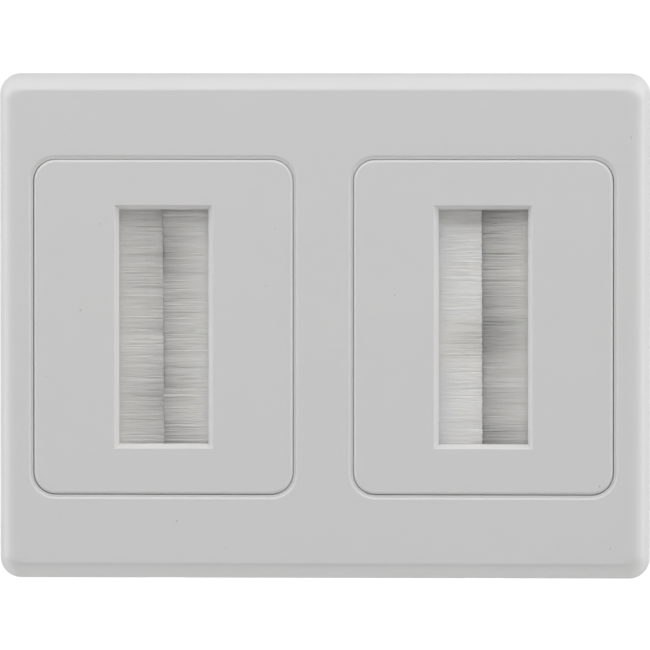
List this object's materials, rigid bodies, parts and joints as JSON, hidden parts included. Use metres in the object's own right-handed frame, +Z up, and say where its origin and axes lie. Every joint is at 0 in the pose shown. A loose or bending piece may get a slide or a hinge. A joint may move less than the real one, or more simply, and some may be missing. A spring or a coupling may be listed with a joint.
{
  "type": "brush wall plate",
  "caption": "Wide white wall plate with a clip-on cover around raised panels, each with a tall bevelled window closed by brush strips that let cables through.",
  "frame": {"origin": "the centre of the plate in the plane of the wall, midway between the fixing screws", "axes": "X runs across the plate to the viewer's right, Z runs up the wall, and Y runs into the wall, so the front of the plate faces -Y"},
  "size_m": [0.15, 0.0305, 0.1164],
  "materials": {
    "white_cover": "satin moulded",
    "white_panel": "satin moulded",
    "frame_plastic": "matt moulded",
    "channel_metal": "mill finish",
    "wire_steel": "drawn",
    "bristle": "nylon filament",
    "screw_steel": "zinc plated"
  },
  "bodies": {
    "root": {"surround": "white_cover", "grid_plate_left": "white_panel", "grid_plate_right": "white_panel", "brush_frame_left": "frame_plastic", "brush_frame_right": "frame_plastic", "left_window_left_channel": "channel_metal", "left_window_right_channel": "channel_metal", "right_window_left_channel": "channel_metal", "right_window_right_channel": "channel_metal", "left_window_left_core_wire": "wire_steel", "left_window_right_core_wire": "wire_steel", "right_window_left_core_wire": "wire_steel", "right_window_right_core_wire": "wire_steel", "left_window_left_bristles": "bristle", "left_window_right_bristles": "bristle", "right_window_left_bristles": "bristle", "right_window_right_bristles": "bristle", "wall_screws_left": "screw_steel", "wall_screws_right": "screw_steel"}
  },
  "joints": []
}
